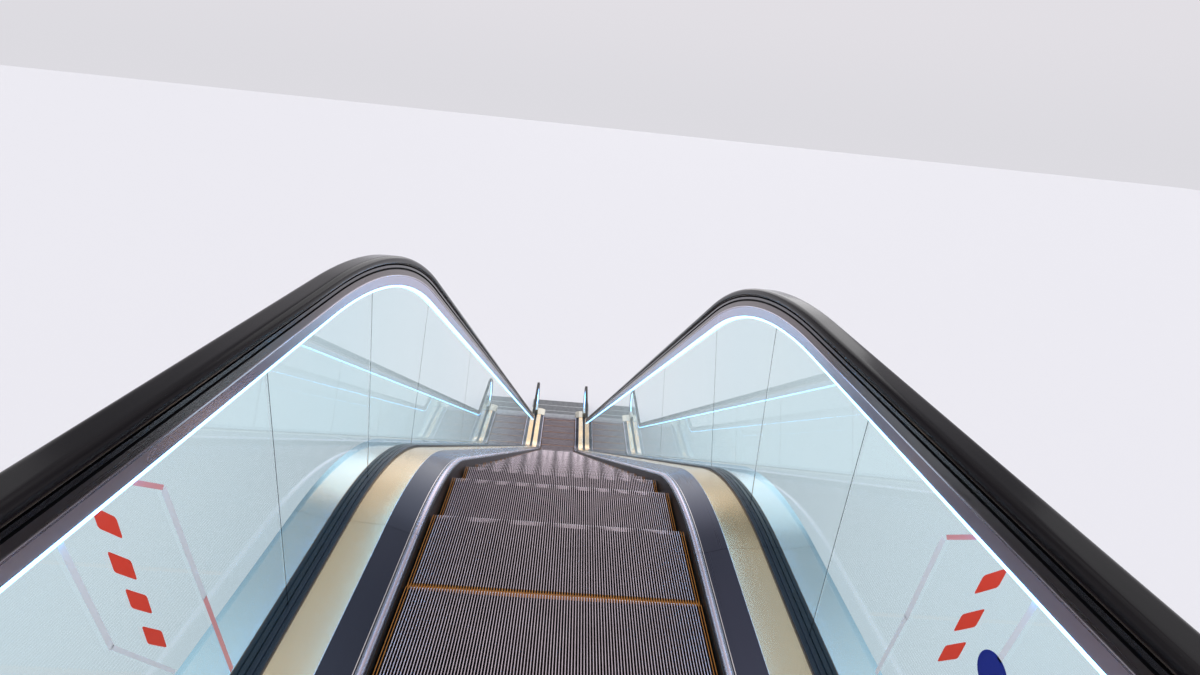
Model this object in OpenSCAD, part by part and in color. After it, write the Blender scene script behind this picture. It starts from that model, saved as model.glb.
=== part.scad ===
// Escalator with glass balustrades: a straight flight of moving steps between two landings.
// The origin is on the ground, on the centre line, under the comb of the lower landing.
// +Y is the way down, +X is to the right of a rider going down, +Z is up. Left and right are the rider's.
// Cross-sections are drawn as (x, h): x across the machine, h square to the line of the step noses.

/* [Route] */
// Height of the upper landing over the lower landing
rise = 8000; // [5000:100:12000]
// Slope of the incline in degrees
slope = 30; // [28:1:35]
// Radius of the step path at the top of the incline
upper_r = 1850; // [1500:10:2600]
// Radius of the step path at the bottom of the incline
lower_r = 1500; // [1300:10:2600]
// Length of level steps between the upper comb and the curve
upper_flat = 1650; // [1250:50:2450]
// Length of level steps between the curve and the lower comb
lower_flat = 1650; // [1250:50:2450]
// Height of the lower landing's treads over the ground
tread_base = 62; // [50:1:120]
// Length of each landing's floor behind its comb
landing_l = 1250; // [1150:10:1600]

/* [Steps] */
// Width of a step
step_w = 1000; // [600:10:1100]
// Depth of a tread
tread_d = 400; // [380:1:410]
// Running gap between one step and the next
step_gap = 4; // [3:0.5:6]
// Number of cleats across a step
cleats = 54; // [40:2:108]
// Width of a cleat at its top
cleat_w = 8; // [2:0.5:9]
// Depth of the grooves between the cleats
cleat_h = 11; // [9:0.5:14]
// How far the first step stands out of the upper comb
step_out = 225; // [20:1:380]
// Depth of the step body under the line of the noses
step_depth = 242; // [236:1:300]

/* [Skirts and decks] */
// Gap between the steps and the skirt on each side
skirt_gap = 4; // [2:0.5:5]
// Thickness of the skirt sheet
skirt_t = 4; // [3:0.5:6]
// Height of the skirt over the treads
skirt_h = 30; // [25:1:50]
// Radius of the round trim along the top of the skirt
trim_r = 15; // [10:0.5:16]
// Height of the lower inner deck's edge over the middle of the trim
deck_on_trim = 12; // [8:0.5:13]
// Width across the lower inner deck
lower_deck_w = 88; // [60:1:120]
// Height gained across the lower inner deck
lower_deck_rise = 30; // [20:1:45]
// Width across the inner deck
inner_deck_w = 128; // [60:1:160]
// Height gained across the inner deck
inner_deck_rise = 8; // [4:1:20]
// Width across the outer deck
outer_deck_w = 120; // [100:1:180]
// Height gained across the outer deck
outer_deck_rise = 28; // [12:1:34]
// Thickness of the deck sheets
deck_t = 3; // [2:0.5:4]
// Height of the edge that the outer deck turns down over the cladding
deck_fold = 9; // [6:0.5:14]
// Number of lengths of decks, trims and cladding down the incline
deck_panels = 5; // [3:1:8]

/* [Balustrades] */
// Thickness of the glass
glass_t = 10; // [8:1:12]
// Thickness of the clamp wall and gasket on each side of the glass
clamp_t = 34; // [20:1:40]
// Thickness of the clamp's floor under the glass
clamp_floor = 12; // [8:1:16]
// Height of the glass clamp
clamp_h = 62; // [50:1:66]
// Height of the gasket over the clamp
gasket_h = 10; // [6:1:14]
// Depth of the groove along each gasket
gasket_groove = 5; // [2:0.5:8]
// Gap between one glass panel and the next
glass_gap = 3; // [2:0.5:5]
// Distance from the first glass joint to the upper curve
glass_joint = 410; // [100:10:900]
// How far round the upper curve the second glass joint is, in degrees
glass_turn = 9; // [5:1:22]
// Number of glass panels down the incline
incline_panels = 9; // [4:1:12]
// Height of the top of the handrail over the treads
rail_top = 975; // [900:5:1050]
// Width of the handrail
rail_w = 80; // [70:1:90]
// Height of the handrail's section
rail_h = 34; // [26:1:40]
// Thickness of the rubber
rail_t = 10; // [8:0.5:12]
// Thickness of the lips that close round the guide's head
rail_lip = 8; // [6:0.5:9]
// Height of the guide's face, which leans out over the light strip
face_h = 41; // [30:1:50]
// Height of the lip over the face
edge_h = 5; // [3:1:8]
// Height of the guide's dark band
dark_h = 22; // [15:1:28]
// Height of the groove over the dark band
groove_h = 8; // [4:1:12]
// Height of the band under the rubber
collar_h = 10; // [6:1:14]
// Height over which that band narrows to the neck
taper_h = 4; // [2:1:6]
// How far the glass reaches up into the guide
glass_in_guide = 40; // [25:1:45]
// How far the bands of the guide stand in from the edge of the rubber
band_in = 10; // [6:1:12]
// How far the guide's head, inside the rubber, stands in from the edge of the rubber
head_in = 12; // [11:1:14]
// How far the guide's neck, between the lips of the rubber, stands in from its edge
neck_in = 18; // [15:1:22]
// How far the guide's dark band stands back from the bands beside it
band_step = 2; // [1:0.5:4]
// Depth of the groove over the dark band
groove_t = 8; // [3:0.5:12]
// Height of the light strip
light_h = 8; // [6:1:20]
// Width of the light strip on each side of the glass
light_w = 12; // [10:1:18]
// Radius of the newel at the middle of the handrail
newel_r = 420; // [380:5:430]
// Distance from each comb to the middle of its newel
newel_out = 480; // [400:10:600]
// Length of the newel base, where the handrail goes in
inlet_l = 430; // [300:10:500]
// Height of the hump of the newel base over the treads
inlet_h = 238; // [232:1:280]
// Width of the hump of the newel base
inlet_w = 104; // [96:1:130]
// Bevel along the top edges of the hump
inlet_bevel = 16; // [8:1:24]
// How far the foot of the hump spreads on each side
inlet_foot = 10; // [4:1:30]
// How far the newel base stands over the decks
base_over = 6; // [3:1:12]

/* [Housing] */
// Depth of the housing under the line of the noses
housing_depth = 950; // [850:10:1200]
// Thickness of the cladding sheets
clad_t = 3; // [2:0.5:5]
// Thickness of the plate that stands on the ground
base_t = 12; // [10:1:20]
// Height of the floor plates over the treads
floor_rise = 22; // [18:1:30]
// Gap between the treads and the plates over them
comb_gap = 2; // [1.5:0.5:4]
// Length of a comb plate, with its teeth
comb_l = 250; // [180:5:300]
// Length of the comb's teeth
tooth_l = 40; // [30:1:60]
// Width of a tooth
tooth_w = 4; // [2:0.5:5]
// How deep the teeth reach into the grooves of the steps
tooth_mesh = 5; // [4:0.5:7]
// Height of the tip of a tooth
tooth_tip = 1.5; // [1:0.5:3]
// Length of the slope from the tips of the teeth up to the floor
comb_slope = 100; // [80:5:140]
// Distance from the upper floor down to the bearing face
bearing_drop = 260; // [180:10:400]
// How far the upper bearing reaches out of the housing
bearing_out = 150; // [100:10:250]
// Thickness of the bearing angle
bearing_t = 20; // [12:1:30]

/* [Hidden] */
$fn = 144;
fit = 0.3;
joint = 0.6;

// Height of the lower tread line; the upper one follows from the curves
z_low = tread_base;
// Length of the straight incline between the two curves, to the nearest whole millimetre
incline_l = round((rise - (upper_r + lower_r) * (1 - cos(slope))) / sin(slope));
// Places along Y of the ends of the stretches, from the lower comb at 0 up to the upper comb
y_low = -lower_flat;
y_foot = y_low - lower_r * sin(slope);
y_head = y_foot - incline_l * cos(slope);
y_up = y_head - upper_r * sin(slope);
y_comb = y_up - upper_flat;
z_foot = z_low + lower_r * (1 - cos(slope));
z_up = z_foot + incline_l * sin(slope) + upper_r * (1 - cos(slope));
// Ends of the landings' floors and the middles of the newels
y_end_up = y_comb - landing_l;
y_end_low = landing_l;
y_newel_up = y_comb - newel_out;
y_newel_low = newel_out;
// Inner ends of the newel bases, where the decks stop
y_in_up = y_newel_up + inlet_l;
y_in_low = y_newel_low - inlet_l;
// Lengths of the curves along the step path
upper_arc = upper_r * slope * PI / 180;
lower_arc = lower_r * slope * PI / 180;

// Places across the machine, from the steps outwards
x_skirt = step_w / 2 + skirt_gap;
x_trim = x_skirt + skirt_t + fit;
x_trim_out = x_trim + 2 * trim_r + fit;
x_lower = x_trim + trim_r + sqrt(pow(trim_r, 2) - pow(deck_on_trim - deck_t, 2)) + fit;
x_inner = x_lower + lower_deck_w;
x_clamp = x_inner + inner_deck_w + fit;
x_glass = x_clamp + clamp_t + fit + glass_t / 2;
x_outer = x_glass + glass_t / 2 + fit + clamp_t + fit;
x_side = x_outer + outer_deck_w;
// Half widths of the guide's bands, its neck and its head inside the rubber
band_w = rail_w / 2 - band_in;
neck_w = rail_w / 2 - neck_in;
head_w = rail_w / 2 - head_in;
// Heights over the tread line
h_trim = skirt_h;
h_lower = h_trim + deck_on_trim;
h_inner = h_lower + lower_deck_rise;
h_clamp = h_inner + inner_deck_rise;
h_glass = h_clamp - clamp_h + clamp_floor + fit;
h_side = h_clamp + outer_deck_rise;
h_rail = rail_top - rail_h / 2;
h_newel = h_rail - newel_r;
h_lip = rail_top - rail_h + rail_lip;
h_cavity = rail_top - rail_t;
guide_h = face_h + edge_h + dark_h + groove_h + collar_h + taper_h;
h_guide = rail_top - rail_h - guide_h;
h_light = h_guide - light_h;
h_glass_top = h_guide + glass_in_guide;

module sided(s) {
    if (s < 0) mirror([1, 0, 0]) children();
    else children();
}

// Frames on the tread line at the foot of the incline and at the start of the upper curve
module at_foot() {
    translate([0, y_low, z_low + lower_r]) rotate([-slope, 0, 0]) translate([0, 0, -lower_r]) children();
}
module at_upper() {
    at_foot() translate([0, -incline_l, -upper_r]) rotate([slope, 0, 0]) translate([0, 0, upper_r])
        children();
}
// Stretches of the route, each carrying a cross-section of (x, h)
module lower_level(y0, y1) {
    translate([0, y1, z_low]) rotate([90, 0, 0]) linear_extrude(y1 - y0) children();
}
module lower_bend() {
    translate([0, y_low, z_low + lower_r]) rotate([90, 0, 90])
        rotate_extrude(angle = slope, start = 270 - slope)
            translate([lower_r, 0]) mirror([1, 0]) mirror([1, -1]) children();
}
// Stretch of the incline between two lengths measured up from its foot
module incline_run(a = 0, b = incline_l) {
    at_foot() translate([0, -a, 0]) rotate([90, 0, 0]) linear_extrude(b - a) children();
}
// Stretch of the upper curve between two angles measured down from its start
module upper_bend(a = 0, b = slope) {
    at_upper() translate([0, 0, -upper_r]) rotate([90, 0, 90])
        rotate_extrude(angle = b - a, start = 90 - b)
            translate([upper_r, 0]) mirror([1, -1]) children();
}
module upper_level(y0, y1) {
    at_upper() translate([0, y1 - y_up, 0]) rotate([90, 0, 0]) linear_extrude(y1 - y0) children();
}
// The whole route in panels with thin joints between them
module panels(y0, y1, n) {
    upper_level(y0, y_up - joint) children();
    upper_bend() children();
    for (i = [0 : n - 1])
        incline_run(i * incline_l / n + joint, (i + 1) * incline_l / n - joint) children();
    lower_bend() children();
    lower_level(y_low + joint, y1) children();
}
// The whole route in one piece
module run_through(y0, y1) {
    upper_level(y0, y_up) children();
    upper_bend() children();
    incline_run() children();
    lower_bend() children();
    lower_level(y_low, y1) children();
}
// Keeps what lies over a level
module above(z) {
    reach = y_end_low - y_end_up;
    intersection() {
        children();
        translate([-2 * x_side, y_end_up - reach, z]) cube([4 * x_side, 3 * reach, 2 * rise]);
    }
}

// Steps
pitch = tread_d + step_gap;
route_l = upper_flat + upper_arc + incline_l + lower_arc + lower_flat;
step_count = floor((route_l - step_out + tread_d) / pitch) + 1;
// Nose of step k: its way along the route, and its place as [y, z]
function way(k) = step_out + k * pitch;
function nose(s) =
    let (a = s - upper_flat, b = a - upper_arc, c = b - incline_l, d = c - lower_arc)
    a <= 0 ? [y_up + a, z_up]
    : b <= 0 ? let (t = a / upper_r * 180 / PI) [y_up + upper_r * sin(t), z_up - upper_r * (1 - cos(t))]
    : c <= 0 ? [y_head + b * cos(slope), z_foot + (incline_l - b) * sin(slope)]
    : d <= 0 ? let (t = -d / lower_r * 180 / PI) [y_low - lower_r * sin(t), z_low + lower_r * (1 - cos(t))]
    : [y_low + d, z_low];
// Space over the step bed, in the plane of (y, z)
module over_bed() {
    depth = step_depth - fit;
    difference() {
        translate([y_end_up, base_t + fit]) square([y_end_low - y_end_up, z_up]);
        translate([y_end_up, -1]) square([y_up - y_end_up, z_up - depth + 1]);
        translate([y_up, z_up - upper_r]) circle(upper_r - depth, $fn = 360);
        polygon([[y_up, -1], [y_up, z_up - upper_r], [y_head - depth * sin(slope), z_foot
            + incline_l * sin(slope) - depth * cos(slope)], [y_foot - depth * sin(slope), z_foot
            - depth * cos(slope)], [y_foot, -1]]);
    }
}
module step_profile(k) {
    p = nose(way(k));
    intersection() {
        translate(p - [tread_d, tread_d]) square([tread_d, tread_d + cleat_h]);
        translate(p - [tread_d, 0]) circle(tread_d, $fn = 360);
        over_bed();
    }
}
// Cross-section of a step: cleats that stand on V-shaped grooves, over a body deeper than any step
cleat_pitch = step_w / cleats;
module cleat_section() {
    polygon([[-step_w / 2, -tread_d - cleat_h],
        for (i = [0 : cleats - 1]) let (x = i * cleat_pitch - step_w / 2, m = x + cleat_pitch / 2)
            each [[x, -cleat_h], [m - cleat_w / 2, 0], [m + cleat_w / 2, 0]],
        [step_w / 2, -cleat_h], [step_w / 2, -tread_d - cleat_h]]);
}
module step(k) {
    p = nose(way(k));
    intersection() {
        translate([-step_w, 0, 0]) rotate([90, 0, 90]) linear_extrude(2 * step_w) step_profile(k);
        translate([0, p[0] + cleat_h, p[1]]) rotate([90, 0, 0])
            linear_extrude(tread_d + 2 * cleat_h) cleat_section();
    }
}
module steps(s0, s1) {
    color("silver")
        for (k = [0 : step_count - 1])
            if (way(k) > s0 && way(k) <= s1) step(k);
}
s_curve = upper_flat;
s_head = s_curve + upper_arc;
s_foot = s_head + incline_l;
s_low = s_foot + lower_arc;
module upper_landing_steps() steps(-1, s_curve);
module upper_curve_steps() steps(s_curve, s_head);
module upper_incline_steps() steps(s_head, s_head + incline_l / 3);
module middle_incline_steps() steps(s_head + incline_l / 3, s_head + incline_l * 2 / 3);
module lower_incline_steps() steps(s_head + incline_l * 2 / 3, s_foot);
module lower_curve_steps() steps(s_foot, s_low);
module lower_landing_steps() steps(s_low, route_l * 2);

// Landings
// Comb plate seen from above, with a tooth over each groove of the steps
module comb_plan() {
    half = x_skirt - fit;
    polygon([[half, comb_l], [-half, comb_l], [-half, tooth_l],
        for (i = [1 : cleats - 1]) let (x = i * cleat_pitch - step_w / 2)
            each [[x - tooth_w / 2, tooth_l], [x - tooth_w / 2, 0],
                [x + tooth_w / 2, 0], [x + tooth_w / 2, tooth_l]],
        [half, tooth_l]]);
}
// The same seen from the side: tips in the grooves, one slope up to the floor
module comb_side() {
    polygon([[-fit, -tooth_mesh], [-fit, tooth_tip - tooth_mesh], [comb_slope, floor_rise],
        [comb_l + fit, floor_rise], [comb_l + fit, comb_gap], [tooth_l, comb_gap],
        [tooth_l - tooth_mesh, -tooth_mesh]]);
}
module comb_plate() {
    color("lightslategray") intersection() {
        translate([0, 0, -cleat_h]) linear_extrude(cleat_h + 2 * floor_rise) comb_plan();
        translate([-x_side, 0, 0]) rotate([90, 0, 90]) linear_extrude(2 * x_side) comb_side();
    }
}
module upper_comb_plate() {
    at_upper() translate([0, -upper_flat, 0]) mirror([0, 1, 0]) comb_plate();
}
module lower_comb_plate() {
    translate([0, 0, z_low]) comb_plate();
}
// Floor of a landing: full width in front of the newels, and narrow between them
module floor_plate(dir) {
    narrow = x_skirt - fit;
    l_narrow = newel_out - comb_l - joint;
    plate = floor_rise - comb_gap;
    translate([0, 0, comb_gap]) mirror([0, dir < 0 ? 1 : 0, 0]) {
        translate([-narrow, comb_l + joint, 0]) cube([2 * narrow, l_narrow, plate]);
        translate([-x_side, newel_out + fit, 0]) cube([2 * x_side, landing_l - newel_out - fit, plate]);
    }
}
module upper_floor_plate() {
    color("dimgray") at_upper() translate([0, -upper_flat, 0]) floor_plate(-1);
}
module lower_floor_plate() {
    color("dimgray") translate([0, 0, z_low]) floor_plate(1);
}

// Skirts and decks
module skirt(s) {
    color("black") sided(s) above(base_t + fit)
        panels(y_newel_up, y_newel_low, deck_panels)
            translate([x_skirt, -step_depth]) square([skirt_t, step_depth + skirt_h]);
}
module left_skirt() skirt(-1);
module right_skirt() skirt(1);

module skirt_trim(s) {
    color("thistle") sided(s) panels(y_in_up + fit, y_in_low - fit, deck_panels)
        translate([x_trim + trim_r, h_trim]) circle(trim_r, $fn = 48);
}
module left_skirt_trim() skirt_trim(-1);
module right_skirt_trim() skirt_trim(1);

module sheet(x0, h0, x1, h1) {
    polygon([[x0, h0], [x1, h1], [x1, h1 - deck_t], [x0, h0 - deck_t]]);
}
module lower_deck(s) {
    color("slategray") sided(s) panels(y_in_up + fit, y_in_low - fit, deck_panels)
        sheet(x_lower, h_lower, x_inner - fit, h_inner);
}
module left_lower_deck() lower_deck(-1);
module right_lower_deck() lower_deck(1);

module inner_deck(s) {
    color("rosybrown") sided(s) panels(y_in_up + fit, y_in_low - fit, deck_panels)
        sheet(x_inner, h_inner, x_clamp - fit, h_clamp);
}
module left_inner_deck() inner_deck(-1);
module right_inner_deck() inner_deck(1);

module outer_deck(s) {
    color("lightblue") sided(s) panels(y_in_up + fit, y_in_low - fit, deck_panels) {
        sheet(x_outer, h_clamp, x_side, h_side);
        translate([x_side - clad_t, h_side - deck_fold]) square([clad_t, deck_fold - deck_t / 2]);
    }
}
module left_outer_deck() outer_deck(-1);
module right_outer_deck() outer_deck(1);

// Balustrades
module glass_clamp(s) {
    color("gray") sided(s) panels(y_in_up + fit, y_in_low - fit, deck_panels)
        translate([x_clamp, h_clamp - clamp_h]) difference() {
            square([2 * clamp_t + glass_t + 2 * fit, clamp_h]);
            translate([clamp_t, clamp_floor]) square([glass_t + 2 * fit, clamp_h]);
        }
}
module left_glass_clamp() glass_clamp(-1);
module right_glass_clamp() glass_clamp(1);

// Gasket beside the glass: two ribs with a groove between them
module gasket_section() {
    rib = (clamp_t - gasket_groove) / 2;
    polygon([[0, fit], [clamp_t, fit], [clamp_t, gasket_h], [clamp_t - rib, gasket_h],
        [clamp_t / 2, gasket_h - gasket_groove], [rib, gasket_h], [0, gasket_h]]);
}
module gasket(s) {
    color("midnightblue") sided(s) panels(y_in_up + fit, y_in_low - fit, deck_panels)
        for (x = [x_clamp, x_glass + glass_t / 2 + fit]) translate([x, h_clamp]) gasket_section();
}
module left_gasket() gasket(-1);
module right_gasket() gasket(1);

// Newels: both ends of the balustrade turn through half a circle about these heights
module newel_turn(start) {
    translate([0, 0, h_newel]) rotate([90, 0, 90]) rotate_extrude(angle = 180, start = start)
        translate([newel_r - h_rail, 0]) mirror([1, -1]) children();
}
// The whole route with both newel turns and the short returns into the newel bases
module loop_through() {
    at_upper() translate([0, y_newel_up - y_up, 0]) newel_turn(90) children();
    run_through(y_newel_up, y_newel_low) children();
    translate([0, y_newel_low, z_low]) newel_turn(270) children();
}

module pane() {
    translate([x_glass - glass_t / 2, 0, 0]) rotate([90, 0, 90]) linear_extrude(glass_t) children();
}
// Outline of a newel pane; dir is -1 at the upper landing and 1 at the lower one
module newel_pane(y, z, dir, y_in) {
    r = newel_r + h_glass_top - h_rail;
    y_base = y - dir * (inlet_l + fit);
    h_base = inlet_h + fit;
    translate([0, z]) {
        intersection() {
            translate([y, h_newel]) circle(r);
            translate([dir < 0 ? y - r : y, h_newel - r]) square([r, 2 * r]);
        }
        translate([min(y, y_in), h_base]) square([abs(y_in - y), h_glass_top - h_base]);
        translate([min(y_base, y_in), h_glass]) square([abs(y_in - y_base), h_glass_top - h_glass]);
    }
}
module glass_strip() {
    translate([x_glass - glass_t / 2, h_glass]) square([glass_t, h_glass_top - h_glass]);
}
module glass(s) {
    step_l = incline_l / incline_panels;
    turn_gap = glass_gap / upper_r * 180 / PI;
    color("lightcyan", 0.5) sided(s) {
        pane() newel_pane(y_newel_up, z_up, -1, y_up - glass_joint - glass_gap);
        upper_level(y_up - glass_joint, y_up) glass_strip();
        upper_bend(0, glass_turn) glass_strip();
        upper_bend(glass_turn + turn_gap, slope) glass_strip();
        for (i = [0 : incline_panels - 1])
            incline_run(i * step_l + glass_gap / 2, (i + 1) * step_l - glass_gap / 2) glass_strip();
        lower_bend() glass_strip();
        pane() newel_pane(y_newel_low, z_low, 1, y_low + glass_gap);
    }
}
module left_glass() glass(-1);
module right_glass() glass(1);

// Outline of half the handrail guide, from its foot up into the rubber: a face that leans out to a lip,
// a dark band, a groove and a band under the rubber
module guide_half() {
    foot = glass_t / 2 + light_w;
    dark_w = band_w - band_step;
    groove_w = band_w - groove_t;
    h_edge = h_guide + face_h;
    h_dark = h_edge + edge_h;
    h_groove = h_dark + dark_h;
    h_collar = h_groove + groove_h;
    h_taper = h_collar + collar_h;
    polygon([[0, h_guide], [foot, h_guide], [dark_w, h_edge], [band_w, h_edge], [band_w, h_dark],
        [dark_w, h_dark], [dark_w, h_groove], [groove_w, h_groove], [groove_w, h_collar],
        [band_w, h_collar], [band_w, h_taper], [neck_w, h_taper + taper_h], [neck_w, h_lip + fit],
        [head_w, h_lip + fit], [head_w, h_cavity - fit], [0, h_cavity - fit]]);
}
module handrail_guide(s) {
    color("mediumpurple") sided(s) loop_through()
        difference() {
            translate([x_glass, 0]) {
                guide_half();
                mirror([1, 0]) guide_half();
            }
            translate([x_glass - glass_t / 2 - fit, h_guide - glass_t])
                square([glass_t + 2 * fit, h_glass_top + fit - h_guide + glass_t]);
        }
}
module left_handrail_guide() handrail_guide(-1);
module right_handrail_guide() handrail_guide(1);

module light_strip(s) {
    color("white") sided(s) loop_through()
        for (x = [x_glass - glass_t / 2 - fit - light_w, x_glass + glass_t / 2 + fit])
            translate([x, h_light]) square([light_w, light_h - fit]);
}
module left_light_strip() light_strip(-1);
module right_light_strip() light_strip(1);

// Rubber handrail, closed round the head of the guide
module handrail(s) {
    color("black") sided(s) loop_through()
        difference() {
            translate([x_glass, h_rail]) union() {
                for (x = [-1, 1])
                    translate([x * (rail_w - rail_h) / 2, 0]) circle(rail_h / 2, $fn = 48);
                square([rail_w - rail_h, rail_h], center = true);
            }
            translate([x_glass - head_w - fit, h_lip]) square([2 * (head_w + fit), h_cavity - h_lip]);
            translate([x_glass - neck_w - fit, h_lip - rail_h])
                square([2 * (neck_w + fit), rail_h + rail_t / 2]);
        }
}
module left_handrail() handrail(-1);
module right_handrail() handrail(1);

// Outline across the base of a newel, which takes in the handrail
module newel_base() {
    hump = inlet_w / 2;
    polygon([[x_trim, comb_gap], [x_trim, h_trim + trim_r], [x_inner, h_inner + base_over],
        [x_glass - hump - inlet_foot, h_clamp + base_over], [x_glass - hump, inlet_h - inlet_bevel],
        [x_glass - hump + inlet_bevel, inlet_h], [x_glass + hump - inlet_bevel, inlet_h],
        [x_glass + hump, inlet_h - inlet_bevel], [x_glass + hump + inlet_foot, h_clamp + base_over],
        [x_side, h_side], [x_side, comb_gap]]);
}
module upper_handrail_inlets() {
    color("silver") for (s = [-1, 1]) sided(s) upper_level(y_newel_up, y_in_up) newel_base();
}
module lower_handrail_inlets() {
    color("silver") for (s = [-1, 1]) sided(s) lower_level(y_in_low, y_newel_low) newel_base();
}

// Housing
h_soffit = -housing_depth;
x_in_side = x_side - clad_t;
module cladding(s) {
    color("gainsboro") sided(s) above(0) {
        panels(y_in_up, y_in_low, deck_panels)
            translate([x_in_side, h_soffit]) square([clad_t, h_side - deck_fold - fit - h_soffit]);
        upper_level(y_end_up, y_in_up - joint)
            translate([x_in_side, h_soffit]) square([clad_t, comb_gap - fit - h_soffit]);
        lower_level(y_in_low + joint, y_end_low)
            translate([x_in_side, h_soffit]) square([clad_t, comb_gap - fit - h_soffit]);
    }
}
module left_cladding() cladding(-1);
module right_cladding() cladding(1);

module soffit() {
    color("darkgray") above(0) {
        upper_level(y_end_up + clad_t + fit, y_up - joint) soffit_sheet();
        upper_bend() soffit_sheet();
        incline_run(joint, incline_l) soffit_sheet();
    }
}
module soffit_sheet() {
    translate([fit - x_in_side, h_soffit]) square([2 * (x_in_side - fit), clad_t]);
}

module upper_end_cover() {
    color("darkgray") translate([fit - x_in_side, y_end_up, z_up + h_soffit])
        cube([2 * (x_in_side - fit), clad_t, housing_depth + comb_gap - fit]);
}

module upper_bearing() {
    z_face = z_up + floor_rise - bearing_drop;
    color("dimgray") translate([fit - x_in_side, y_end_up - fit, z_face]) mirror([0, 1, 0]) {
        cube([2 * (x_in_side - fit), bearing_out, bearing_t]);
        cube([2 * (x_in_side - fit), bearing_t, bearing_out]);
    }
}

// Body of the machine under the steps, up to the line that the steps stand on
h_bed = -step_depth;
h_inside = h_soffit + clad_t + fit;
y_first = y_comb + step_out - tread_d - step_gap;
y_last = nose(way(step_count - 1))[0] + step_gap;
module step_bed() {
    color("dimgray") above(base_t + fit) {
        panels(y_first, y_last, 1)
            translate([fit - x_skirt, h_inside]) square([2 * (x_skirt - fit), h_bed - h_inside]);
        upper_level(y_end_up + clad_t + fit, y_first - joint)
            translate([fit - x_skirt, h_inside]) square([2 * (x_skirt - fit), comb_gap - fit - h_inside]);
        lower_level(y_last + joint, y_end_low)
            translate([fit - x_skirt, h_inside]) square([2 * (x_skirt - fit), comb_gap - fit - h_inside]);
    }
}
// Body of the machine on one side, up to the underside of the decks
module side_section() {
    x0 = x_trim;
    x1 = x_in_side - fit;
    y0 = h_inside;
    under = deck_t + fit;
    difference() {
        polygon([[x0, y0], [x0, h_trim - trim_r - fit], [x_trim_out, h_trim - trim_r - fit],
            [x_trim_out, h_lower - under], [x_inner, h_inner - under],
            [x_clamp, h_clamp - under], [x_outer, h_clamp - under],
            [x1, h_side - under - outer_deck_rise * (fit + clad_t) / outer_deck_w], [x1, y0]]);
        translate([x_clamp - fit, h_clamp - clamp_h - fit])
            square([2 * clamp_t + glass_t + 4 * fit, 2 * clamp_h]);
    }
}
module low_section() {
    translate([x_trim, h_inside]) square([x_in_side - fit - x_trim, comb_gap - fit - h_inside]);
}
module housing(s) {
    color("dimgray") sided(s) above(base_t + fit) {
        panels(y_in_up, y_in_low, 1) side_section();
        upper_level(y_end_up + clad_t + fit, y_in_up - joint) low_section();
        lower_level(y_in_low + joint, y_end_low) low_section();
    }
}
module left_housing() housing(-1);
module right_housing() housing(1);

module base_plate() {
    run = (housing_depth * cos(slope) - z_foot) / sin(slope);
    y_ground = y_foot - housing_depth * sin(slope) - run * cos(slope) + clad_t / sin(slope) + fit;
    color("dimgray") translate([fit - x_in_side, y_ground, 0])
        cube([2 * (x_in_side - fit), y_end_low - y_ground, base_t]);
}

upper_landing_steps();
upper_curve_steps();
upper_incline_steps();
middle_incline_steps();
lower_incline_steps();
lower_curve_steps();
lower_landing_steps();
upper_comb_plate();
lower_comb_plate();
upper_floor_plate();
lower_floor_plate();
left_skirt();
right_skirt();
left_skirt_trim();
right_skirt_trim();
left_lower_deck();
right_lower_deck();
left_inner_deck();
right_inner_deck();
left_glass_clamp();
right_glass_clamp();
left_gasket();
right_gasket();
left_glass();
right_glass();
left_outer_deck();
right_outer_deck();
left_handrail_guide();
right_handrail_guide();
left_light_strip();
right_light_strip();
left_handrail();
right_handrail();
upper_handrail_inlets();
lower_handrail_inlets();
left_cladding();
right_cladding();
soffit();
upper_end_cover();
upper_bearing();
step_bed();
left_housing();
right_housing();
base_plate();
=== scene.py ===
import math

import bpy
import numpy as np
from mathutils import Matrix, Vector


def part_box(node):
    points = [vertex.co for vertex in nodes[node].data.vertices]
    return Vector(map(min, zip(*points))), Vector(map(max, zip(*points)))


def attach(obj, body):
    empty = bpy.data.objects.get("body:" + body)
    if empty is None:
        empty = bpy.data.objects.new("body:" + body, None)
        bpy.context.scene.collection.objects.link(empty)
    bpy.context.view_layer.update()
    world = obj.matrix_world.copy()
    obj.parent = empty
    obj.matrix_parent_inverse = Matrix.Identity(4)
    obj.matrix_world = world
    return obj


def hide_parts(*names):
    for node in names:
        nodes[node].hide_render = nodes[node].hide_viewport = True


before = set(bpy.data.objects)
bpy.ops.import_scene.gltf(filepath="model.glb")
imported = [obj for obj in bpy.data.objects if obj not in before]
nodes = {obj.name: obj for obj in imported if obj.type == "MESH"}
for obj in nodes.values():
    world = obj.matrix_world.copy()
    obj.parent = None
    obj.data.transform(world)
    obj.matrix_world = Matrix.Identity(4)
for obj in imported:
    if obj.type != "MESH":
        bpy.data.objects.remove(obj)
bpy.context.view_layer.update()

SIDES = {"left": -1, "right": 1}

# Housing, step bed and base plate
# The truss, the drive and the tracks are closed in by welded steel boxes with a dark grey primer.
# They stand on a base plate at the lower end and on an angle at the upper end.


def new_material(name):
    """An empty node material with its shader."""
    made = bpy.data.materials.new(name)
    made.use_nodes = True
    tree = made.node_tree
    return made, tree, tree.nodes["Principled BSDF"]


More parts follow.
